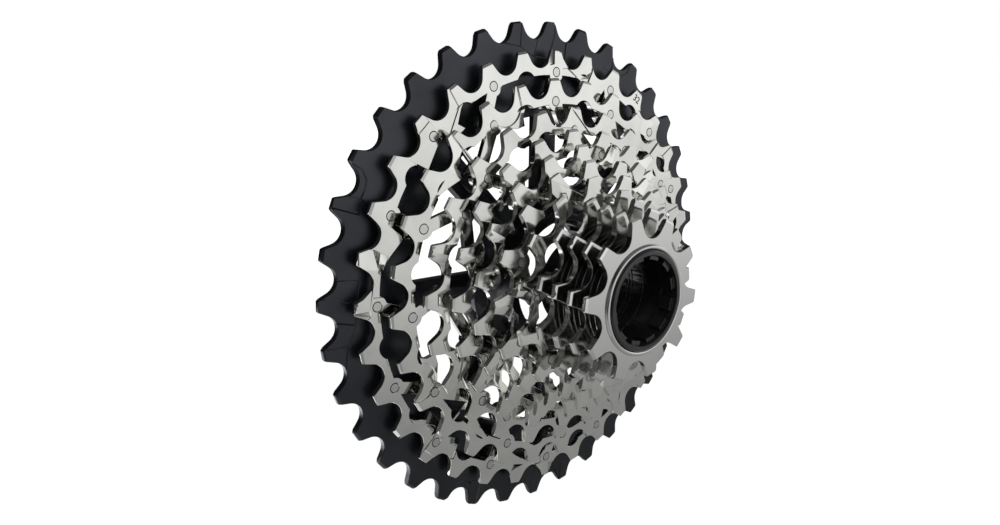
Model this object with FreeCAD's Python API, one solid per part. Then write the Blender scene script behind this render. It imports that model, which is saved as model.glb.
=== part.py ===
import FreeCAD, Part
import math
import os

# Twelve-speed pinned cassette sprocket with a spinning lock tube.
# Modelled with the axis on local Z and the small end up, the front face of the
# largest cog at height 0. Turned at the end: the axis lies on Y, the small end
# faces -Y, Z is up and the back of the driver hub lies in the plane Y = 0.

os.makedirs("parts", exist_ok=True)
V = FreeCAD.Vector

# ---------------------------------------------------------------- driving sizes
CHAIN_PITCH = 12.7          # roller chain pitch
ROLLER_SEAT_R = 3.9         # half of a 7.75 mm roller plus running room
TIP_RISE = 1.0              # tooth tip above the pitch circle, largest cog
TIP_RISE_STEP = 0.033       # more for each tooth fewer
TIP_W = 2.9                 # flat top of a tooth, largest cog
TIP_W_STEP = 0.023          # more for each tooth fewer
COG_T = 1.6                 # steel cog thickness
BIG_T = 2.2                 # aluminium cog thickness at the teeth
FIRST_GAP = 3.8             # front face of the largest cog to the next front face
COG_GAP = 3.65              # front face to front face for the rest
PIN_DROP = 5.1              # pin circle below the pitch circle of the cog it holds
PIN_R = 1.35                # pin end, also the hole
PIN_SHOULDER_R = 1.85       # thicker middle that spaces two cogs
PIN_FIT = 0.01              # radial room of a pin end in its hole
SEAT_DEPTH = 1.6            # blind pin seats in the largest cog
BOSS_R = 2.8                # metal round a pin hole
RIM_DEPTH = 2.05            # rim below the roller seats
SCALLOP_R = 3.4             # hollow under each tooth that has no pin
SCALLOP_RISE = 0.4          # its top below the roller seats
ARM_W = 3.4                 # arm from a rim pin to the next pin inward
SWEEP = 14.0                # degrees that a long slanted arm runs
RAMP_DEPTH = 0.35           # shift ramps below the front face
RAMP_W = 2.6
POCKET_R = 5.4               # crescent shaped step round a roller seat
POCKET_DROP = 2.4            # its centre inside the pitch circle
POCKET_DEPTH = 0.45
STEP_DEPTH = 0.2             # one machined step on the largest cog
FACET_TILT = 13.0           # degrees that a shifting tooth's face leans
TIP_CHAMFER_LEN = 0.8
TIP_CHAMFER_H = 0.35

BORE_R = 17.2               # plain pilot bore for the driver body
SPLINE_R = 16.3             # inner tips of the driver splines
GROOVE_R = 17.7             # floor of the grooves between the splines
SPLINE_COUNT = 16
SPLINE_W = 2.4
SPLINE_LEN = 7.0
PILOT_LEN = 3.0             # plain land behind the splines
HUB_R = 21.5
HUB_FRONT = 9.5
BIG_BODY_T = 3.0            # largest cog inside its teeth
WINDOW_IN = 27.0
WINDOW_OUT = 47.5
ARM_COUNT = 8
BIG_ARM_W = 8.0
FIRST_ARM_ANGLE = 44.5

LOCK_HEAD_R = 13.75         # lock tube head
LOCK_SHAFT_R = 13.0         # lock tube shaft
LOCK_FIT = 0.05             # radial running room of the lock tube
LOCK_BACK = 13.0
LOCK_HEAD_LEN = 3.2
LOCK_BORE_R = 11.75
NOTCH_OUT_R = 12.1
NOTCH_IN_R = 11.0
NOTCH_COUNT = 12
NOTCH_LEN = 5.0
THREAD_R = 12.0             # minor radius of the driver thread
THREAD_LEN = 9.0
GLIDE_T = 0.5
CLIP_W = 1.0
CLIP_OUT_R = 14.4
CLIP_GROOVE_R = 12.6
CLIP_FIT = 0.05
COLLAR_R = 15.1

# teeth, direction of one tooth in degrees, and which teeth carry a pin
COGS = [
    (36, 98.2, (0, 1)),
    (32, 89.2, (0, 2)),
    (28, 15.8, (1, 7), (4, 7), (6, 7)),
    (24, 12.9, (2, 6), (3, 6), (5, 6)),
    (21, 161.8, (0, 7), (2, 7), (5, 7)),
    (19, 169.0, (0, 19), (2, 19), (5, 19), (7, 19), (10, 19), (12, 19), (15, 19), (17, 19)),
    (17, 158.2, (0, 17), (2, 17), (5, 17), (7, 17), (10, 17), (12, 17), (15, 17)),
    (15, 171.3, (0, 5), (2, 5)),
    (13, 166.1, (0, 13), (3, 13), (5, 13), (8, 13), (10, 13)),
    (12, 168.8,),
    (11, 170.9,),
    (10, 173.6,),
]
TEETH = [row[0] for row in COGS]
TOOTH_ANGLE = dict((row[0], row[1]) for row in COGS)
STACK = FIRST_GAP + COG_GAP * (len(TEETH) - 2)      # front face of the smallest cog
COLLAR_FRONT = STACK + 0.75                         # front of the collar round the lock tube
LOCK_FRONT = COLLAR_FRONT + 0.35


def pitch_radius(n):
    return CHAIN_PITCH / 2.0 / math.sin(math.pi / n)


def front_z(n):
    k = TEETH.index(n)
    if k == 0:
        return 0.0
    return FIRST_GAP + COG_GAP * (k - 1)


def root_radius(n):
    return pitch_radius(n) - ROLLER_SEAT_R


def tip_radius(n):
    return pitch_radius(n) + TIP_RISE + TIP_RISE_STEP * (36 - n)


def tip_width(n):
    return TIP_W + TIP_W_STEP * (36 - n)


def pin_radius(n):
    return pitch_radius(n) - PIN_DROP


def pin_angles(n):
    # teeth whose index leaves the listed remainder each carry one pin
    row = COGS[TEETH.index(n)]
    out = []
    for rest, every in row[2:]:
        for k in range(n):
            if k % every == rest:
                out.append(row[1] + 360.0 * k / n)
    return sorted(out)


def polar(r, deg, z=0.0):
    a = math.radians(deg)
    return V(r * math.cos(a), r * math.sin(a), z)


def disc(r, z0, z1, at=None):
    base = V(0, 0, z0)
    if at is not None:
        base = V(at.x, at.y, z0)
    return Part.makeCylinder(r, z1 - z0, base)


def ring(r_in, r_out, z0, z1):
    return disc(r_out, z0, z1).cut(disc(r_in, z0 - 1, z1 + 1))


def turned(points):
    # solid of revolution about the axis from (radius, height) points
    pts = [V(r, 0, z) for r, z in points]
    pts.append(pts[0])
    return Part.Face(Part.makePolygon(pts)).revolve(V(0, 0, 0), V(0, 0, 1), 360)


def bar(p, q, width, z0, z1):
    # straight bar between two points seen from the front
    d = q.sub(p)
    box = Part.makeBox(d.Length, width, z1 - z0, V(0, -width / 2.0, z0))
    box.rotate(V(0, 0, 0), V(0, 0, 1), math.degrees(math.atan2(d.y, d.x)))
    box.translate(V(p.x, p.y, 0))
    return box


def tooth_face(n, z):
    # flat-topped teeth with straight flanks tangent to round roller seats
    rp = pitch_radius(n)
    r_tip = tip_radius(n)
    first = TOOTH_ANGLE[n]
    half = 180.0 / n
    corner = math.degrees(tip_width(n) / 2.0 / r_tip)
    seat = polar(rp, half)
    reach = polar(r_tip, corner).sub(seat)
    open_angle = math.degrees(math.acos(ROLLER_SEAT_R / reach.Length))
    toward = math.degrees(math.atan2(reach.y, reach.x))
    touch = seat.add(polar(ROLLER_SEAT_R, toward + open_angle))
    other = seat.add(polar(ROLLER_SEAT_R, toward - open_angle))
    if other.Length < touch.Length:
        touch = other
    touch_r = touch.Length
    touch_a = math.degrees(math.atan2(touch.y, touch.x))
    edges = []
    for k in range(n):
        a = first + 360.0 * k / n
        b = first + 360.0 * (k + 1) / n
        left = polar(r_tip, a - corner, z)
        right = polar(r_tip, a + corner, z)
        low_one = polar(touch_r, a + touch_a, z)
        bottom = polar(rp - ROLLER_SEAT_R, a + half, z)
        low_two = polar(touch_r, b - touch_a, z)
        following = polar(r_tip, b - corner, z)
        edges.append(Part.makeLine(left, right))
        edges.append(Part.makeLine(right, low_one))
        edges.append(Part.Arc(low_one, bottom, low_two).toShape())
        edges.append(Part.makeLine(low_two, following))
    return Part.Face(Part.Wire(edges))


def toothed_disc(n, thick):
    # plate with chamfered tooth tips, front face at front_z(n)
    top = front_z(n)
    low = top - thick
    plate = tooth_face(n, low).extrude(V(0, 0, thick))
    r_tip = tip_radius(n) + 0.05
    r_flat = r_tip - TIP_CHAMFER_LEN
    h = TIP_CHAMFER_H * thick / COG_T
    lens = turned([
        (0, low), (r_flat, low), (r_tip, low + h),
        (r_tip, top - h), (r_flat, top), (0, top),
    ])
    return plate.common(lens)


def pin_holes(n, z0, z1):
    return [disc(PIN_R, z0, z1, polar(pin_radius(n), a)) for a in pin_angles(n)]


def one_solid(shape, name):
    shape = shape.removeSplitter()
    if not shape.isValid():
        shape.fix(0.001, 0.001, 0.001)
    print(name, "solids", len(shape.Solids), "valid", shape.isValid(), "volume", round(shape.Volume, 1))
    return shape


def save(shape, name):
    shape.rotate(V(0, 0, 0), V(1, 0, 0), 90)
    shape.translate(V(0, -BIG_BODY_T, 0))
    shape.exportStep("parts/" + name + ".step")


def nearest(angle, choices):
    return min(choices, key=lambda c: abs((c - angle + 180) % 360 - 180))


def gap_after(angle, choices):
    # degrees from one pin to the next pin round the circle
    return min(((c - angle - 0.01) % 360) for c in choices)


def swept_arms(n, following):
    # ends of the slanted arms: each starts at a pin that has a wide gap after it
    pins_in = pin_angles(following)
    wide = max(gap_after(a, pins_in) for a in pins_in)
    starts = [a for a in pins_in if gap_after(a, pins_in) > wide - 0.5]
    reach = min(SWEEP, wide * 0.5)
    out = []
    for a in starts:
        out.append((polar(pin_radius(following), a),
                    polar(root_radius(n) + 0.6, a + reach)))
    return out


def web(n, corners, low, top):
    # plate whose corners are (tooth index, height above the roller seats)
    pts = []
    for index, rise in corners:
        a = TOOTH_ANGLE[n] + 360.0 * index / n
        pts.append(polar(root_radius(n) + rise, a, low))
    pts.append(pts[0])
    return Part.Face(Part.makePolygon(pts)).extrude(V(0, 0, top - low))


def planed(n, corners, top, depth, lean=0.0):
    # cutting tool with a web outline, its floor leaning about a radial line
    tool = web(n, corners, top - depth, top + 2.0)
    if lean:
        mid = sum(c[0] for c in corners) / len(corners)
        a = TOOTH_ANGLE[n] + 360.0 * mid / n
        tool.rotate(polar(root_radius(n), a, top - depth), polar(1.0, a), lean)
    return tool


def zones(corners, first, every, n):
    # the same outline at every shifting zone round the cog
    out = []
    for k in range(first, first + n, every):
        out.append([(index + k, rise) for index, rise in corners])
    return out


def extra_webs(n, low, top):
    # solid metal of the two largest steel cogs beside their shifting teeth
    out = []
    if n == 32:
        wedge = [(6.0, -0.3), (6.21, -1.9), (6.28, -3.7), (6.38, -6.7), (6.9, -3.7),
                 (7.3, -1.7), (7.6, -0.2)]
        lobe = [(2.9, -0.3), (3.05, -1.3), (3.32, -3.9), (3.2, -6.2), (3.72, -6.2),
                (3.75, -1.6), (4.08, -1.6), (4.08, -3.8), (4.65, -5.7), (4.75, -0.3)]
        link = [(6.1, -9.0), (6.2, -6.0), (6.38, -6.7), (6.45, -6.2), (6.35, -9.0)]
        for corners in (wedge, lobe, link):
            out += [web(n, c, low, top) for c in zones(corners, 0, 8, n)]
    if n == 28:
        wedge = [(2.3, -0.5), (2.42, -2.0), (2.38, -5.7), (2.9, -3.2), (3.3, -1.2), (3.6, -0.2)]
        lobe = [(0.0, -1.2), (0.1, -3.0), (0.12, -5.8), (0.4, -5.6), (0.75, -3.6),
                (0.95, -2.6), (1.05, -1.0)]
        link = [(1.95, -0.5), (1.95, -6.2), (2.05, -8.4), (2.46, -5.0), (2.06, -4.6),
                (2.04, -0.5)]
        for corners in (wedge, lobe, link):
            out += [web(n, c, low, top) for c in zones(corners, 0, 7, n)]
    return out


def flank_ramps(n, low, top):
    # slanted metal on one flank of every eighth tooth of the second cog
    if n != 32:
        return []
    corners = [(-0.42, -0.1), (-0.07, 4.6), (0.1, 4.6), (0.1, -0.1)]
    return [web(n, c, low, top) for c in zones(corners, 0, 8, n)]


def zone_steps(n, top):
    # steps machined into the front faces of the two largest steel cogs
    cuts = []
    if n == 32:
        pocket = [(3.07, 6.5), (3.07, -0.6), (3.62, -4.3), (3.8, -4.3), (3.85, -1.5), (3.85, 6.5)]
        crease = [(7.35, -2.6), (7.3, -1.7), (7.62, 0.25), (7.8, -0.2), (7.8, -2.6)]
        band = [(3.8, 2.4), (3.8, 6.5), (4.3, 6.5), (4.3, 2.4)]
        side = [(0.07, 6.5), (0.07, 1.0), (0.2, 0.7), (0.5, 6.5)]
        for corners, depth, lean in ((pocket, 0.3, 0.0), (crease, 0.3, 0.0),
                                     (band, 0.25, 0.0), (side, 0.3, 12.0)):
            cuts += [planed(n, c, top, depth, lean) for c in zones(corners, 0, 8, n)]
        lean_face = [(6.8, 6.5), (6.78, 1.2), (6.87, -3.3), (7.45, -1.3), (7.5, 6.5)]
        cuts += [planed(n, c, top, 0.1, 4.0) for c in zones(lean_face, 0, 8, n)]
        bright = [(3.85, 2.4), (3.85, -6.5), (4.7, -6.5), (4.75, 0.2), (4.35, 2.4)]
        cuts += [planed(n, c, top, 0.15, -3.0) for c in zones(bright, 0, 8, n)]
    if n == 28:
        side = [(0.07, 6.5), (0.07, -0.9), (0.5, -0.9), (0.5, 6.5)]
        for c in zones(side, 0, 7, n):
            cuts.append(planed(n, c, top, POCKET_DEPTH))
        for k in range(0, n, 7):
            a = TOOTH_ANGLE[n] + 360.0 * (k + 0.53) / n
            centre = polar(pitch_radius(n) - POCKET_DROP, a)
            cuts.append(disc(POCKET_R, top - POCKET_DEPTH, top + 1, centre))
        lean_face = [(2.0, 6.5), (2.0, -6.5), (2.45, -6.5), (2.8, -3.2), (2.75, 6.5)]
        cuts += [planed(n, c, top, 0.12, 4.0) for c in zones(lean_face, 0, 7, n)]
    return cuts


def tilted_facet(n, angle, top):
    # tool that planes one side of a tooth's front face down
    box = Part.makeBox(9.0, 5.0, 3.0, V(-3.0, 0, 0))
    box.rotate(V(0, 0, 0), V(1, 0, 0), -FACET_TILT)
    box.rotate(V(0, 0, 0), V(0, 0, 1), angle)
    box.translate(polar(pitch_radius(n) - 1.5, angle, top))
    return box


def shift_details(n, following, top):
    # slanted steps beside the swept arms, and leaning faces on the teeth by them
    cuts = []
    for p, q in swept_arms(n, following):
        along = q.sub(p)
        out = V(-along.y, along.x, 0).normalize().multiply(-(ARM_W + RAMP_W) / 2.0 + 0.9)
        if p.add(out).Length < p.Length:
            out = out.multiply(-1)
        far = q.add(V(along).normalize().multiply(6.0))
        cuts.append(bar(p.add(out), far.add(out), RAMP_W, top - RAMP_DEPTH, top + 1))
        a = math.degrees(math.atan2(q.y, q.x))
        tooth = nearest(a, [TOOTH_ANGLE[n] + 360.0 * k / n for k in range(n)])
        cuts.append(tilted_facet(n, tooth, top))
        cuts.append(tilted_facet(n, tooth - 360.0 * 3 / n, top))
    return cuts


def steel_cog(n):
    # narrow toothed ring, bosses at its own pins, arms inward to the next pins
    following = TEETH[TEETH.index(n) + 1]
    top = front_z(n)
    low = top - COG_T
    rim_in = root_radius(n) - RIM_DEPTH
    own = pin_angles(n)
    whole = toothed_disc(n, COG_T)
    hollows = [disc(rim_in, low - 1, top + 1)]
    for k in range(n):
        a = TOOTH_ANGLE[n] + 360.0 * k / n
        near = abs((nearest(a, own) - a + 180) % 360 - 180)
        if near > 1:
            centre = polar(root_radius(n) - SCALLOP_RISE - SCALLOP_R, a)
            hollows.append(disc(SCALLOP_R, low - 1, top + 1, centre))
    body = whole.cut(Part.makeCompound(hollows))
    extra = []
    for a in own:
        extra.append(disc(BOSS_R, low, top, polar(pin_radius(n), a)))
    for a in pin_angles(following):
        p = polar(pin_radius(following), a)
        extra.append(disc(BOSS_R, low, top, p))
        extra.append(bar(p, polar(pin_radius(n), nearest(a, own)), ARM_W, low, top))
    if n < 28:
        for p, q in swept_arms(n, following):
            extra.append(bar(p, q, ARM_W, low, top))
    extra += extra_webs(n, low, top)
    # roller seats stay clear of the bosses
    body = body.multiFuse(extra).common(whole)
    ramps = flank_ramps(n, low, top)
    if ramps:
        body = body.multiFuse(ramps)
    cuts = pin_holes(n, low - 1, top + 1)
    cuts += pin_holes(following, low - 1, top + 1)
    body = body.cut(Part.makeCompound(cuts))
    tools = zone_steps(n, top)
    if n < 28:
        tools = shift_details(n, following, top)
    for tool in tools:
        body = body.cut(tool)
    return one_solid(body, "cog %d" % n)


def large_ramps(top):
    # two groups of machined steps in each quarter of the largest cog's front face
    groups = [
        ([(5.15, 6.5), (5.15, 0.8), (5.3, -1.4), (5.5, -2.0), (5.75, -1.8), (5.85, 6.5)], 1),
        ([(5.72, -0.5), (5.72, -2.6), (6.05, -2.7), (6.08, 6.5), (5.85, 6.5)], 2),
        ([(7.5, 6.5), (7.5, -6.0), (7.95, -5.6), (8.0, -3.0), (7.88, 1.0), (7.86, 6.5)], 1),
        ([(7.86, 6.5), (7.88, 1.0), (8.0, -3.0), (8.0, -5.4), (8.55, -4.9), (8.4, 0.5),
          (8.4, 6.5)], 2),
        ([(8.4, 6.5), (8.4, 0.5), (8.55, -4.9), (8.75, -3.8), (8.98, -1.8), (8.85, 6.5)], 1),
        ([(8.85, 6.5), (8.98, -1.8), (9.5, 0.1), (9.3, 6.5)], 0.6),
    ]
    cuts = []
    for corners, steps in groups:
        for c in zones(corners, 0, 9, 36):
            cuts.append(planed(36, c, top, STEP_DEPTH * steps))
    return cuts


def large_cog():
    # aluminium cog: toothed ring, eight arms, splined driver hub
    top = front_z(36)
    body_low = top - BIG_BODY_T
    root = root_radius(36)
    teeth = toothed_disc(36, BIG_T).cut(disc(root - 4.0, -20, 20))
    body = turned([
        (WINDOW_OUT, body_low), (root - 3.0, body_low), (root - 1.6, top - BIG_T),
        (root - 1.0, top - BIG_T), (root - 1.0, top), (WINDOW_OUT, top),
    ])
    hub = turned([
        (BORE_R, body_low), (HUB_R + 2.0, body_low), (WINDOW_IN, body_low + 0.6),
        (WINDOW_IN, top + 0.6), (HUB_R, top + 2.4), (HUB_R - 1.0, HUB_FRONT),
        (GROOVE_R, HUB_FRONT), (GROOVE_R, body_low + PILOT_LEN), (BORE_R, body_low + PILOT_LEN),
    ])
    arms = []
    for k in range(ARM_COUNT):
        a = FIRST_ARM_ANGLE + 360.0 * k / ARM_COUNT
        arms.append(bar(polar(WINDOW_IN - 2.0, a), polar(WINDOW_OUT + 2.0, a),
                        BIG_ARM_W, body_low, top))
        rib = bar(polar(HUB_R - 1.5, a), polar(WINDOW_OUT - 2.0, a), 2.2, top - 1, top + 5.0)
        keep = turned([
            (HUB_R - 2.0, top - 1), (WINDOW_OUT - 2.0, top - 1), (WINDOW_OUT - 3.0, top),
            (HUB_R - 2.0, top + 5.0),
        ])
        arms.append(rib.common(keep))
    shape = teeth.multiFuse([body, hub] + arms)
    spline_low = body_low + PILOT_LEN
    splines = []
    for k in range(SPLINE_COUNT):
        a = 360.0 * k / SPLINE_COUNT
        splines.append(bar(polar(SPLINE_R - 1, a), polar(GROOVE_R + 1.0, a), SPLINE_W,
                           spline_low, spline_low + SPLINE_LEN))
    teeth_in = Part.makeCompound(splines).common(ring(SPLINE_R, GROOVE_R + 1.0, body_low, HUB_FRONT))
    shape = shape.multiFuse(teeth_in.Solids)
    seats = pin_holes(32, top - SEAT_DEPTH, top + 1)
    shape = shape.cut(Part.makeCompound(seats))
    for tool in large_ramps(top):
        shape = shape.cut(tool)
    return one_solid(shape, "cog 36")


def small_cluster():
    # 13, 12, 11 and 10 teeth turned and milled from one piece of steel
    bearing = LOCK_SHAFT_R + LOCK_FIT
    head = LOCK_HEAD_R + LOCK_FIT
    low = front_z(13) - COG_T
    seat = LOCK_FRONT - LOCK_HEAD_LEN - GLIDE_T
    shape = toothed_disc(13, COG_T)
    rest = [toothed_disc(n, COG_T) for n in (12, 11, 10)]
    for n in (12, 11, 10):
        core = root_radius(n) - 1.3
        rest.append(disc(core, front_z(n) - COG_GAP, front_z(n) - COG_T))
    rest.append(disc(COLLAR_R, front_z(10) - 0.5, COLLAR_FRONT))
    shape = shape.multiFuse(rest)
    bore = turned([
        (0, low - 1), (17.6, low - 1), (17.6, low + 2.6), (15.0, low + 5.4),
        (bearing, low + 5.4), (bearing, seat), (head, seat), (head, COLLAR_FRONT - 0.4),
        (head + 0.4, COLLAR_FRONT), (head + 0.4, COLLAR_FRONT + 1), (0, COLLAR_FRONT + 1),
    ])
    edge = turned([
        (COLLAR_R - 0.4, COLLAR_FRONT + 0.01), (COLLAR_R + 1, COLLAR_FRONT + 0.01),
        (COLLAR_R + 1, COLLAR_FRONT - 0.4), (COLLAR_R, COLLAR_FRONT - 0.4),
    ])
    shape = shape.cut(bore).cut(edge)
    holes = pin_holes(13, low - 1, front_z(13) + 0.5)
    return one_solid(shape.cut(Part.makeCompound(holes)), "cluster")


def pins(larger, smaller):
    # shouldered pins: ends in both cogs, thicker middle between them
    z_low = front_z(larger) - (SEAT_DEPTH if larger == 36 else COG_T)
    z_mid = front_z(larger)
    z_high = front_z(smaller) - COG_T
    z_top = front_z(smaller)
    out = []
    for a in pin_angles(smaller):
        at = polar(pin_radius(smaller), a)
        end = disc(PIN_R - PIN_FIT, z_low, z_top, at)
        out.append(end.fuse(disc(PIN_SHOULDER_R, z_mid, z_high, at)).removeSplitter())
    group = Part.makeCompound(out)
    print("pins", larger, smaller, "count", len(group.Solids))
    return group


def lock_tube():
    seat = LOCK_FRONT - LOCK_HEAD_LEN
    groove_top = front_z(13) - COG_T + 5.4
    body = turned([
        (LOCK_BORE_R, LOCK_BACK + THREAD_LEN + 1.5),
        (THREAD_R, LOCK_BACK + THREAD_LEN + 1.0), (THREAD_R, LOCK_BACK + 0.6),
        (THREAD_R + 0.5, LOCK_BACK), (LOCK_SHAFT_R - 0.4, LOCK_BACK),
        (LOCK_SHAFT_R, LOCK_BACK + 0.4), (LOCK_SHAFT_R, groove_top - CLIP_W),
        (CLIP_GROOVE_R, groove_top - CLIP_W), (CLIP_GROOVE_R, groove_top),
        (LOCK_SHAFT_R, groove_top), (LOCK_SHAFT_R, seat), (LOCK_HEAD_R, seat),
        (LOCK_HEAD_R, LOCK_FRONT - 0.4), (LOCK_HEAD_R - 0.4, LOCK_FRONT),
        (NOTCH_OUT_R + 0.2, LOCK_FRONT), (NOTCH_OUT_R, LOCK_FRONT - 0.8),
        (NOTCH_OUT_R, LOCK_FRONT - NOTCH_LEN), (LOCK_BORE_R, LOCK_FRONT - NOTCH_LEN - 0.5),
    ])
    lugs = []
    span = 360.0 / NOTCH_COUNT
    keep = ring(NOTCH_IN_R, NOTCH_OUT_R + 0.3, LOCK_FRONT - NOTCH_LEN, LOCK_FRONT - 1.0)
    for k in range(NOTCH_COUNT):
        a = span * (k + 0.5)
        lug = bar(polar(NOTCH_IN_R - 1, a), polar(NOTCH_OUT_R + 0.4, a), 3.5,
                  LOCK_FRONT - NOTCH_LEN, LOCK_FRONT - 1.0)
        lugs.append(lug.common(keep))
    return one_solid(body.multiFuse(lugs), "lock tube")


def glide_ring():
    # thin plain washer under the head of the lock tube
    seat = LOCK_FRONT - LOCK_HEAD_LEN
    return ring(LOCK_SHAFT_R + LOCK_FIT, LOCK_HEAD_R + LOCK_FIT / 2, seat - GLIDE_T, seat)


def retaining_clip():
    # open spring ring in the groove of the lock tube, behind the small cluster
    top = front_z(13) - COG_T + 5.4
    body = ring(CLIP_GROOVE_R + CLIP_FIT, CLIP_OUT_R, top - CLIP_W, top)
    slot = bar(polar(CLIP_GROOVE_R - 2, 250), polar(CLIP_OUT_R + 2, 250), 3.0, top - 3, top + 1)
    return body.cut(slot)


save(large_cog(), "sprocket_36t")
for count in TEETH[1:8]:
    save(steel_cog(count), "sprocket_%dt" % count)
save(small_cluster(), "small_cluster_10_13t")
for i in range(8):
    save(pins(TEETH[i], TEETH[i + 1]), "pins_%dt_%dt" % (TEETH[i], TEETH[i + 1]))
save(lock_tube(), "lock_tube")
save(glide_ring(), "lock_tube_glide_ring")
save(retaining_clip(), "lock_tube_clip")
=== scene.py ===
"""Looks for a twelve-speed cassette sprocket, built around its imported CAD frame."""
import math

import bpy
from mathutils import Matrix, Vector


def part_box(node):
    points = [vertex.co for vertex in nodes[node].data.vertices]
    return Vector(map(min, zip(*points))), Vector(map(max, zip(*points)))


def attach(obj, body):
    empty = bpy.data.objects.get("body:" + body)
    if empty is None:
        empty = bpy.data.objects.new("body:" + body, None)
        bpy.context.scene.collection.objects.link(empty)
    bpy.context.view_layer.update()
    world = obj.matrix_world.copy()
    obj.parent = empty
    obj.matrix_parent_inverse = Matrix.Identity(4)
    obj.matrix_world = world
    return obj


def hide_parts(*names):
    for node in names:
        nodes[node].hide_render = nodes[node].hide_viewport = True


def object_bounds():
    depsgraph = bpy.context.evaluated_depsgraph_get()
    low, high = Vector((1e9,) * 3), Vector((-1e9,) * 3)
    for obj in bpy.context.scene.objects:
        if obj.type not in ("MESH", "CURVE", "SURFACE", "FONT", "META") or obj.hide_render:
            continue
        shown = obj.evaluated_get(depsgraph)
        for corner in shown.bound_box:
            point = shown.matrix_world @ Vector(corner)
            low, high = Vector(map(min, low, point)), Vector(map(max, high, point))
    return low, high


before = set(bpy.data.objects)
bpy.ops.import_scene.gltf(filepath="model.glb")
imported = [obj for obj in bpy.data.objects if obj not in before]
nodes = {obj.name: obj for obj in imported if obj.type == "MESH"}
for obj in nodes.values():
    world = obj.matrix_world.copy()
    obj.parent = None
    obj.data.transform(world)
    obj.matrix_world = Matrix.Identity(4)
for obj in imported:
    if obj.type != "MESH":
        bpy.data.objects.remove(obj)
cad_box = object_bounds()

MM = 0.001

# broken edges, by how each piece is made
STEEL_CHAMFER = 0.09 * MM           # blanked steel cogs and the turned cluster
ALUMINIUM_CHAMFER = 0.2 * MM        # the milled aluminium cog
PIN_CHAMFER = 0.17 * MM
TUBE_CHAMFER = 0.12 * MM            # under half of the tube's narrowest ledge
RING_CHAMFER = 0.08 * MM

# how the CAD triangles are joined into faces before their edges are broken
MERGE = 0.002 * MM                  # corners nearer than this are one corner
FLAT_WITHIN = math.radians(0.6)     # triangles this near to flat are one face
BREAK_ABOVE = math.radians(34)      # only edges sharper than this are broken
SMOOTH_BELOW = math.radians(28)     # curved walls shade smooth, chamfers stay crisp
SQUARE_ON = 0.99995                 # a normal this far along the axle is a cog's flat face

# faces that get painted shade: the walls between the small cogs and the sunk rims of the pin
# heads
GROOVE_R = (14.5 * MM, 19.6 * MM)   # walls between the cogs of the small cluster
GROOVE_BEHIND = 1.2 * MM            # the first of them starts this far behind the front
GROOVE_SPREAD = 0.25 * MM           # a wall keeps to one radius, a tooth's flank doesn't
GROOVE_LEAN = 0.5
PIN_RIM_LEAN = (0.4, 0.9)           # the sunk rim of a pin's head

# turned beads in the lock tube's bore, by how far they are behind its front
LOCK_BORE_R = 11.75 * MM
BEAD_WIDTH = 0.3 * MM
BEAD_SUNK = 0.05 * MM               # how far a bead reaches into the wall
BEAD_PROUD = 0.12 * MM              # and how far it stands out of it
BEAD_SIDES = 96
BEADS = (("lock_tube_front_bead", 11.7 * MM),
         ("lock_tube_mid_bead", 15.8 * MM),
         ("lock_tube_rear_bead", 17.0 * MM))

# the tooth count on the largest steel cog
MARK_ANGLE = math.radians(55.5)
MARK_R = 63.2 * MM
MARK_SIZE = 3.0 * MM
MARK_DEPTH = 0.04 * MM
MARK_STROKE = 0.04 * MM             # added all round each stroke

# studio, in metres
FLOOR_SIZE = 8.0
FLOOR_CLEARANCE = 0.2 * MM          # the largest cog stands just above the floor
KEY_SIZE = (0.5, 0.35)
KEY_PLACE = (-0.25, -0.35, 0.55)
KEY_WATTS = 2.0
CAMERA_PLACE = (-0.14579, -0.16304, 0.05184)
CAMERA_AIM = (0.61209, 0.75981, -0.21915)
CAMERA_LENS = 26.02
CAMERA_SENSOR = 36.0
CAMERA_NEAREST = 0.005

# a noise pattern seldom leaves this part of its range from 0 to 1
NOISE_RANGE = [("From Min", 0.3), ("From Max", 0.7)]


# ---------------------------------------------------------------- small tools

def linear(hex_colour):
    """sRGB hex to the linear RGBA that shaders take."""
    out = []
    for k in (0, 2, 4):
        c = int(hex_colour[k:k + 2], 16) / 255.0
        out.append(c / 12.92 if c <= 0.04045 else ((c + 0.055) / 1.055) ** 2.4)
    return (*out, 1.0)


def per(size):
    """The scale of a pattern whose features are that many millimetres apart."""
    return 1 / (size * MM)


def add(tree, kind, links=(), values=(), stops=(), **settings):
    """Adds one node with its settings, its input values, its colour stops and its links."""
    n = tree.nodes.new(kind)
    for key, value in settings.items():
        setattr(n, key, value)
    for socket, value in values:
        n.inputs[socket].default_value = value
    for socket, source in links:
        tree.links.new(source, n.inputs[socket])
    if stops:
        points = n.color_ramp.elements
        while len(points) < len(stops):
            points.new(0.5)
        for point, (place, colour) in zip(points, stops):
            point.position = place
            point.color = linear(colour)
    return n


def surface(name, metallic, rough, base):
    """A new material with its constants on the shader's own sockets."""
    m = bpy.data.materials.new(name)
    m.use_nodes = True
    s = m.node_tree.nodes["Principled BSDF"]
    s.inputs["Base Color"].default_value = linear(base)
    s.inputs["Metallic"].default_value = metallic
    s.inputs["Roughness"].default_value = rough
    return m, m.node_tree, s


def in_scene(name, data):
    """A new object on that data, in the scene."""
    obj = bpy.data.objects.new(name, data)
    bpy.context.collection.objects.link(obj)
    return obj


def only(obj):
    """Selects that object alone and makes it the active one."""
    bpy.ops.object.select_all(action="DESELECT")
    obj.select_set(True)
    bpy.context.view_layer.objects.active = obj


def settle(obj):
    """Moves an object's place and turn into its mesh, so that it sits at the origin."""
    only(obj)
    bpy.ops.object.transform_apply(location=True, rotation=True, scale=True)


# ---------------------------------------------------------------- finishes

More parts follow.
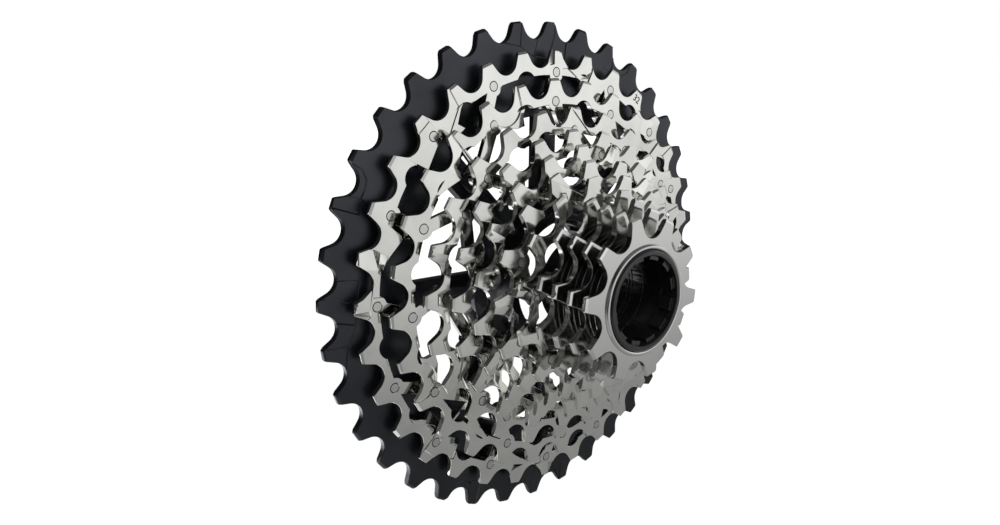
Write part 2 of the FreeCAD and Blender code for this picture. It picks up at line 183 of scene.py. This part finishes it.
def plated_plate_steel():
    """Polished nickel-chrome plate on blanked steel: near mirror, faint cloudy polish
    and fine rolling lines that only break up a reflection."""
    m, t, s = surface("nickel_chrome_plated_steel", 1.0, 0.1, "e6e6e2")
    place = add(t, "ShaderNodeTexCoord").outputs["Object"]
    # clouding of the polish, patches about 9 mm across
    cloud = add(t, "ShaderNodeTexNoise", links=[("Vector", place)],
                values=[("Scale", per(9.09)), ("Detail", 3.0), ("Roughness", 0.55)])
    tint = add(t, "ShaderNodeValToRGB", links=[("Fac", cloud.outputs["Fac"])],
               stops=[(0.3, "dcdcd8"), (0.7, "ecece8")])
    t.links.new(tint.outputs["Color"], s.inputs["Base Color"])
    rough = add(t, "ShaderNodeMapRange", links=[("Value", cloud.outputs["Fac"])],
                values=NOISE_RANGE + [("To Min", 0.075), ("To Max", 0.15)])
    t.links.new(rough.outputs["Result"], s.inputs["Roughness"])
    # rolling lines 0.36 mm apart along the strip the cogs were cut from
    stretch = add(t, "ShaderNodeMapping", links=[("Vector", place)],
                  values=[("Scale", (0.05, 1.0, 1.0))])
    lines = add(t, "ShaderNodeTexNoise", links=[("Vector", stretch.outputs["Vector"])],
                values=[("Scale", per(0.357)), ("Detail", 2.0)])
    bump = add(t, "ShaderNodeBump", links=[("Height", lines.outputs["Fac"])],
               values=[("Strength", 0.05), ("Distance", 0.02 * MM)])
    t.links.new(bump.outputs["Normal"], s.inputs["Normal"])
    return m


def turned_steel(name, base, low, high):
    """Turned and milled steel: rings of tool marks round the axle, which roughen it
    from low to high."""
    m, t, s = surface(name, 1.0, low, base)
    place = add(t, "ShaderNodeTexCoord").outputs["Object"]
    axes = add(t, "ShaderNodeSeparateXYZ", links=[("Vector", place)])
    flat = add(t, "ShaderNodeCombineXYZ",
               links=[("X", axes.outputs["X"]), ("Z", axes.outputs["Z"])])
    radius = add(t, "ShaderNodeVectorMath", operation="LENGTH",
                 links=[(0, flat.outputs["Vector"])])
    # tool marks 0.3 mm apart, uneven in depth
    marks = add(t, "ShaderNodeTexNoise", noise_dimensions="1D",
                links=[("W", radius.outputs["Value"])],
                values=[("Scale", per(0.303)), ("Detail", 2.0)])
    rough = add(t, "ShaderNodeMapRange", links=[("Value", marks.outputs["Fac"])],
                values=NOISE_RANGE + [("To Min", low), ("To Max", high)])
    t.links.new(rough.outputs["Result"], s.inputs["Roughness"])
    bump = add(t, "ShaderNodeBump", links=[("Height", marks.outputs["Fac"])],
               values=[("Strength", 0.08), ("Distance", 0.03 * MM)])
    t.links.new(bump.outputs["Normal"], s.inputs["Normal"])
    return m


def painted_shade_steel():
    """Painted shade for the walls between the cogs of the small cluster and the sunk rims of
    the
    pin heads: deep black with a dull sheen, in random patches 2.4 mm across."""
    m, t, s = surface("painted_shade_steel", 0.4, 0.32, "08080a")
    place = add(t, "ShaderNodeTexCoord").outputs["Object"]
    shade_patch = add(t, "ShaderNodeTexNoise", links=[("Vector", place)],
               values=[("Scale", per(2.38)), ("Detail", 3.0)])
    tint = add(t, "ShaderNodeValToRGB", links=[("Fac", shade_patch.outputs["Fac"])],
               stops=[(0.35, "050506"), (0.7, "121214")])
    t.links.new(tint.outputs["Color"], s.inputs["Base Color"])
    return m


def anodised_aluminium(name, dark, light, low, high, grain):
    """Black anodised aluminium, bead blasted before the dye: satin, with slow drifts of
    the dye from dark to light and a fine even grain that roughens it from low to high."""
    m, t, s = surface(name, 0.94, low, dark)
    place = add(t, "ShaderNodeTexCoord").outputs["Object"]
    # the dye drifts over about 17 mm
    drift = add(t, "ShaderNodeTexNoise", links=[("Vector", place)],
                values=[("Scale", per(16.67)), ("Detail", 4.0), ("Roughness", 0.6)])
    tint = add(t, "ShaderNodeValToRGB", links=[("Fac", drift.outputs["Fac"])],
               stops=[(0.3, dark), (0.7, light)])
    t.links.new(tint.outputs["Color"], s.inputs["Base Color"])
    # the grain of real blasting is finer: this is as coarse as it needs to show
    blast = add(t, "ShaderNodeTexNoise", links=[("Vector", place)],
                values=[("Scale", per(grain)), ("Detail", 2.0)])
    rough = add(t, "ShaderNodeMapRange", links=[("Value", blast.outputs["Fac"])],
                values=NOISE_RANGE + [("To Min", low), ("To Max", high)])
    t.links.new(rough.outputs["Result"], s.inputs["Roughness"])
    bump = add(t, "ShaderNodeBump", links=[("Height", blast.outputs["Fac"])],
               values=[("Strength", 0.12), ("Distance", 0.04 * MM)])
    t.links.new(bump.outputs["Normal"], s.inputs["Normal"])
    return m


def black_nylon():
    """Moulded nylon washer: dark, dull, faintly mottled every millimetre or so."""
    m, t, s = surface("moulded_black_nylon", 0.0, 0.55, "1a1a1b")
    place = add(t, "ShaderNodeTexCoord").outputs["Object"]
    mottle = add(t, "ShaderNodeTexNoise", links=[("Vector", place)],
                 values=[("Scale", per(1.11)), ("Detail", 2.0)])
    tint = add(t, "ShaderNodeValToRGB", links=[("Fac", mottle.outputs["Fac"])],
               stops=[(0.3, "151516"), (0.7, "232324")])
    t.links.new(tint.outputs["Color"], s.inputs["Base Color"])
    return m


def etched_mark():
    """Laser-etched tooth count: oxide burnt dark grey into the plate, uneven from one
    0.2 mm burn to the next."""
    m, t, s = surface("laser_etched_oxide", 0.0, 0.7, "2e2e2e")
    place = add(t, "ShaderNodeTexCoord").outputs["Object"]
    burn = add(t, "ShaderNodeTexNoise", links=[("Vector", place)],
               values=[("Scale", per(0.2)), ("Detail", 1.0)])
    tint = add(t, "ShaderNodeValToRGB", links=[("Fac", burn.outputs["Fac"])],
               stops=[(0.3, "1c1c1c"), (0.7, "363636")])
    t.links.new(tint.outputs["Color"], s.inputs["Base Color"])
    return m


PLATED = plated_plate_steel()
MACHINED = turned_steel("plated_turned_steel", "dededc", low=0.09, high=0.17)
PIN_STEEL = turned_steel("headed_pin_steel", "d4d4d2", low=0.12, high=0.2)
SPRING = turned_steel("spring_steel", "9a9a96", low=0.22, high=0.3)
# painted shade, for the groove walls of the small cluster and the sunk rims of the pin heads
PAINTED_SHADE = painted_shade_steel()
BLACK_COG = anodised_aluminium("blasted_black_anodised_aluminium", "3a3c40", "45474b",
                               low=0.28, high=0.38, grain=0.303)
BLACK_TUBE = anodised_aluminium("turned_black_anodised_aluminium", "4a4a4c", "545456",
                                low=0.2, high=0.28, grain=0.238)
NYLON = black_nylon()
ETCHED = etched_mark()
# lighter grey steel for the bore beads: a painted highlight
BEAD_HIGHLIGHT = turned_steel("bead_painted_highlight_steel", "7a7a7c", low=0.4, high=0.5)


# ---------------------------------------------------------------- finished pieces

def keep_planes_crisp(mesh):
    """Marks edges between a flat face of a cog and any leaning face as sharp."""
    flat = {}
    for face in mesh.polygons:
        for key in face.edge_keys:
            flat.setdefault(key, []).append(abs(face.normal.y) > SQUARE_ON)
    for edge in mesh.edges:
        sides = flat.get(edge.key, [])
        if len(sides) == 2 and sides[0] != sides[1]:
            edge.use_edge_sharp = True


def finished(node, name, chamfer, material, body="cassette"):
    """A copy of a CAD node with its edges broken, which stands for that node."""
    obj = in_scene(name, nodes[node].data.copy())
    obj.data.materials.clear()
    obj.data.materials.append(material)
    only(obj)
    bpy.ops.object.mode_set(mode="EDIT")
    bpy.ops.mesh.select_all(action="SELECT")
    bpy.ops.mesh.remove_doubles(threshold=MERGE)
    bpy.ops.mesh.dissolve_limited(angle_limit=FLAT_WITHIN)
    bpy.ops.object.mode_set(mode="OBJECT")
    edges = obj.modifiers.new("broken_edges", "BEVEL")
    edges.width = chamfer
    edges.segments = 1
    edges.limit_method = "ANGLE"
    edges.angle_limit = BREAK_ABOVE
    edges.use_clamp_overlap = False
    bpy.ops.object.modifier_apply(modifier=edges.name)
    bpy.ops.object.shade_smooth_by_angle(angle=SMOOTH_BELOW)
    keep_planes_crisp(obj.data)
    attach(obj, body)
    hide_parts(node)
    return obj


def darken(obj, wanted):
    """Gives the faces picked by wanted(face, radius, spread) the painted shade. The radius is
    that of the face's centre, and the spread is how far its corners reach beyond it."""
    obj.data.materials.append(PAINTED_SHADE)
    for face in obj.data.polygons:
        radius = math.hypot(face.center.x, face.center.z)
        corners = [obj.data.vertices[i].co for i in face.vertices]
        spread = max(math.hypot(c.x, c.z) for c in corners) - radius
        if wanted(face, radius, spread):
            face.material_index = 1


def groove_wall(face, radius, spread):
    """The walls between the cogs of the small cluster, which get painted shade."""
    return (abs(face.normal.y) < GROOVE_LEAN and GROOVE_R[0] < radius < GROOVE_R[1]
            and face.center.y > CLUSTER_FRONT + GROOVE_BEHIND and spread < GROOVE_SPREAD)


def pin_rim(face, radius, spread):
    """The sunk rim of each pin's head, which gets painted shade for the seam round it."""
    return PIN_RIM_LEAN[0] < abs(face.normal.y) < PIN_RIM_LEAN[1]


def bore_beads():
    """Narrow turned beads round the bore of the lock tube, a lighter grey than the tube as a
    painted highlight. One is modelled and copied.
    """
    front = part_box("lock_tube")[0][1]
    bpy.ops.object.select_all(action="DESELECT")
    bpy.ops.mesh.primitive_cylinder_add(vertices=BEAD_SIDES, radius=LOCK_BORE_R + BEAD_SUNK,
                                        depth=BEAD_WIDTH, end_fill_type="NOTHING",
                                        rotation=(math.pi / 2, 0, 0), location=(0, front, 0))
    bead = bpy.context.object
    settle(bead)
    wall = bead.modifiers.new("wall", "SOLIDIFY")
    wall.thickness = BEAD_SUNK + BEAD_PROUD
    wall.offset = -1                # towards the axle
    crown = bead.modifiers.new("crown", "BEVEL")
    crown.width = BEAD_WIDTH / 4
    crown.segments = 2
    for step in (wall, crown):
        bpy.ops.object.modifier_apply(modifier=step.name)
    bpy.ops.object.shade_smooth_by_angle(angle=SMOOTH_BELOW)
    # the beads' lighter grey is a painted highlight
    bead.data.materials.append(BEAD_HIGHLIGHT)
    for name, behind in BEADS:
        copy = in_scene(name, bead.data.copy())
        copy.location = (0, behind, 0)
        settle(copy)
        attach(copy, "lock_tube")
    bpy.data.objects.remove(bead)


def tooth_count(node, text):
    """The number of teeth etched on the front of a cog, its top towards the rim."""
    bpy.ops.object.select_all(action="DESELECT")
    bpy.ops.object.text_add()
    letters = bpy.context.object.data
    letters.body = text
    letters.size = MARK_SIZE
    letters.extrude = MARK_DEPTH
    letters.offset = MARK_STROKE
    letters.align_x = "CENTER"
    letters.align_y = "CENTER"
    bpy.ops.object.convert(target="MESH")
    mark = bpy.context.object
    mark.name = "tooth_count_" + text
    mark.rotation_euler = (math.pi / 2, math.pi / 2 - MARK_ANGLE, 0)
    mark.location = (MARK_R * math.cos(MARK_ANGLE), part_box(node)[0][1],
                     MARK_R * math.sin(MARK_ANGLE))
    settle(mark)
    mark.data.materials.clear()
    mark.data.materials.append(ETCHED)
    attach(mark, "cassette")


for teeth in (32, 28, 24, 21, 19, 17, 15):
    cog = "sprocket_%dt" % teeth
    finished(cog, cog + "_plated", STEEL_CHAMFER, PLATED)
finished("sprocket_36t", "sprocket_36t_anodised", ALUMINIUM_CHAMFER, BLACK_COG)

CLUSTER_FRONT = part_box("small_cluster_10_13t")[0][1]
cluster = finished("small_cluster_10_13t", "small_cluster_turned", STEEL_CHAMFER, MACHINED)
# painted shade on the walls between the small cogs
darken(cluster, groove_wall)

for node in sorted(nodes):
    if node.startswith("pins_"):
        pins = finished(node, node + "_headed", PIN_CHAMFER, PIN_STEEL)
        # painted shade on the sunk rim round each pin's head
        darken(pins, pin_rim)

finished("lock_tube", "lock_tube_anodised", TUBE_CHAMFER, BLACK_TUBE,
         "lock_tube")
finished("lock_tube_glide_ring", "lock_tube_glide_ring_moulded", RING_CHAMFER, NYLON)
finished("lock_tube_clip", "lock_tube_clip_sprung", TUBE_CHAMFER, SPRING,
         "lock_tube")
bore_beads()
tooth_count("sprocket_32t", "32")


# ---------------------------------------------------------------- studio

def floor_paper():
    """Pale paper that reads white to the camera yet keeps a soft shadow close by, and that
    glows in painted greys for rays off metal and glass only: grey in front, white just behind
    and dark further back."""
    m, t, s = surface("studio_floor_paper", 0.0, 0.9, "b4b4b4")
    ray = add(t, "ShaderNodeLightPath")
    place = add(t, "ShaderNodeTexCoord").outputs["Object"]
    axes = add(t, "ShaderNodeSeparateXYZ", links=[("Vector", place)])
    # greys that the metal sees, from 0.7 m in front of the axle to 0.5 m behind it
    along = add(t, "ShaderNodeMapRange", links=[("Value", axes.outputs["Y"])],
                values=[("From Min", -0.7), ("From Max", 0.5)])
    level = add(t, "ShaderNodeValToRGB", links=[("Fac", along.outputs["Result"])],
                stops=[(0.0, "ececec"), (0.3, "d8d8d8"), (0.41, "bcbcbc"), (0.5, "969696"),
                       (0.58, "929292"), (0.61, "f0f0f0"), (0.66, "f0f0f0"),
                       (0.74, "202020")])
    # painted reflection: for rays off metal the paper glows dim on the left in front, like
    # black cloth, and this ends under the cogs
    left = add(t, "ShaderNodeMapRange", interpolation_type="SMOOTHSTEP",
               links=[("Value", axes.outputs["X"])],
               values=[("From Min", -0.2), ("From Max", -0.05), ("To Min", 0.1)])
    rear = add(t, "ShaderNodeMapRange", interpolation_type="SMOOTHSTEP",
               links=[("Value", axes.outputs["Y"])],
               values=[("From Min", 0.0), ("From Max", 0.03)])
    lit = add(t, "ShaderNodeMath", operation="MAXIMUM",
              links=[(0, left.outputs["Result"]), (1, rear.outputs["Result"])])
    # painted reflection: under the left edge the paper glows up to three times as bright for
    # rays off metal, like a white card, for the faces that look down
    glow_patch_x = add(t, "ShaderNodeMapRange", interpolation_type="SMOOTHSTEP",
                 links=[("Value", axes.outputs["X"])],
                 values=[("From Min", -0.03), ("From Max", -0.055), ("To Max", 3.0)])
    glow_patch_y = add(t, "ShaderNodeMapRange", interpolation_type="SMOOTHSTEP",
                 links=[("Value", axes.outputs["Y"])],
                 values=[("From Min", -0.08), ("From Max", -0.04)])
    glow_patch = add(t, "ShaderNodeMath", operation="MULTIPLY",
               links=[(0, glow_patch_x.outputs["Result"]), (1, glow_patch_y.outputs["Result"])])
    strength = add(t, "ShaderNodeMath", operation="MAXIMUM",
                   links=[(0, lit.outputs["Value"]), (1, glow_patch.outputs["Value"])])
    mirrored = add(t, "ShaderNodeEmission", links=[("Color", level.outputs["Color"]),
                                                   ("Strength", strength.outputs["Value"])])
    # the paper's own shading shows through near the object, and fades out by half a metre
    away = add(t, "ShaderNodeVectorMath", operation="LENGTH", links=[(0, place)])
    fade = add(t, "ShaderNodeMapRange", interpolation_type="SMOOTHSTEP",
               links=[("Value", away.outputs["Value"])],
               values=[("From Min", 0.1), ("From Max", 0.5), ("To Min", 0.8)])
    lift = add(t, "ShaderNodeMath", operation="MULTIPLY",
               links=[(0, ray.outputs["Is Camera Ray"]), (1, fade.outputs["Result"])])
    seen = add(t, "ShaderNodeEmission", values=[("Strength", 1.2)])
    paper = add(t, "ShaderNodeMixShader",
                links=[(0, lift.outputs["Value"]), (1, s.outputs["BSDF"]),
                       (2, seen.outputs["Emission"])])
    bounced = add(t, "ShaderNodeMath", operation="MAXIMUM",
                  links=[(0, ray.outputs["Is Glossy Ray"]),
                         (1, ray.outputs["Is Transmission Ray"])])
    both = add(t, "ShaderNodeMixShader",
               links=[(0, bounced.outputs["Value"]), (1, paper.outputs["Shader"]),
                      (2, mirrored.outputs["Emission"])])
    t.links.new(both.outputs["Shader"], t.nodes["Material Output"].inputs["Surface"])
    return m


def lay_floor():
    bpy.ops.object.select_all(action="DESELECT")
    bpy.ops.mesh.primitive_plane_add(size=FLOOR_SIZE,
                                     location=(0, 0, cad_box[0][2] - FLOOR_CLEARANCE))
    floor = bpy.context.object
    floor.name = "floor"
    floor.data.materials.append(floor_paper())


def hang_studio():
    """The room round the object: white to the camera, even for soft light, and for metal a
    white wall in front on the right with dark cloth on the left, behind and overhead."""
    world = bpy.data.worlds.new("studio")
    bpy.context.scene.world = world
    world.use_nodes = True
    t = world.node_tree
    t.nodes.clear()
    ray = add(t, "ShaderNodeLightPath")
    heading = add(t, "ShaderNodeTexCoord")
    axes = add(t, "ShaderNodeSeparateXYZ", links=[("Vector", heading.outputs["Generated"])])
    front = add(t, "ShaderNodeMapRange", interpolation_type="SMOOTHSTEP",
                links=[("Value", axes.outputs["Y"])],
                values=[("From Min", 0.35), ("From Max", -0.35), ("To Min", 0.06)])
    side = add(t, "ShaderNodeMapRange", interpolation_type="SMOOTHSTEP",
               links=[("Value", axes.outputs["X"])],
               values=[("From Min", -0.6), ("From Max", 0.3), ("To Min", 0.12)])
    wall = add(t, "ShaderNodeMath", operation="MULTIPLY",
               links=[(0, front.outputs["Result"]), (1, side.outputs["Result"])])
    # the dark ceiling that draws a line along each broken upper edge
    ceiling = add(t, "ShaderNodeMapRange", interpolation_type="SMOOTHSTEP",
                  links=[("Value", axes.outputs["Z"])],
                  values=[("From Min", 0.25), ("From Max", 0.6), ("To Min", 1.0),
                          ("To Max", 0.15)])
    metal_sees = add(t, "ShaderNodeMath", operation="MULTIPLY",
                     links=[(0, wall.outputs["Value"]), (1, ceiling.outputs["Result"])])
    bounced = add(t, "ShaderNodeMath", operation="MAXIMUM",
                  links=[(0, ray.outputs["Is Glossy Ray"]),
                         (1, ray.outputs["Is Transmission Ray"])])
    soft = add(t, "ShaderNodeMix", values=[("A", 0.75)],
               links=[("Factor", bounced.outputs["Value"]), ("B", metal_sees.outputs["Value"])])
    shown = add(t, "ShaderNodeMath", operation="MAXIMUM",
                links=[(0, ray.outputs["Is Camera Ray"]), (1, soft.outputs["Result"])])
    sky = add(t, "ShaderNodeBackground", links=[("Strength", shown.outputs["Value"])],
              values=[("Color", (1, 1, 1, 1))])
    add(t, "ShaderNodeOutputWorld", links=[("Surface", sky.outputs["Background"])])


def place_key():
    """A weak panel up on the left in front, for a soft shadow on the paper."""
    panel = bpy.data.lights.new("key", "AREA")
    panel.shape = "RECTANGLE"
    panel.size, panel.size_y = KEY_SIZE
    panel.energy = KEY_WATTS
    key = in_scene("key", panel)
    key.visible_glossy = False
    key.location = KEY_PLACE
    key.rotation_euler = (-key.location).to_track_quat("-Z", "Y").to_euler()


def place_camera():
    view = bpy.data.cameras.new("camera")
    view.lens = CAMERA_LENS
    view.sensor_width = CAMERA_SENSOR
    view.clip_start = CAMERA_NEAREST
    camera = in_scene("camera", view)
    camera.location = CAMERA_PLACE
    camera.rotation_euler = Vector(CAMERA_AIM).to_track_quat("-Z", "Y").to_euler()
    bpy.context.scene.camera = camera


lay_floor()
hang_studio()
place_key()
place_camera()
bpy.context.scene.view_settings.view_transform = "Standard"
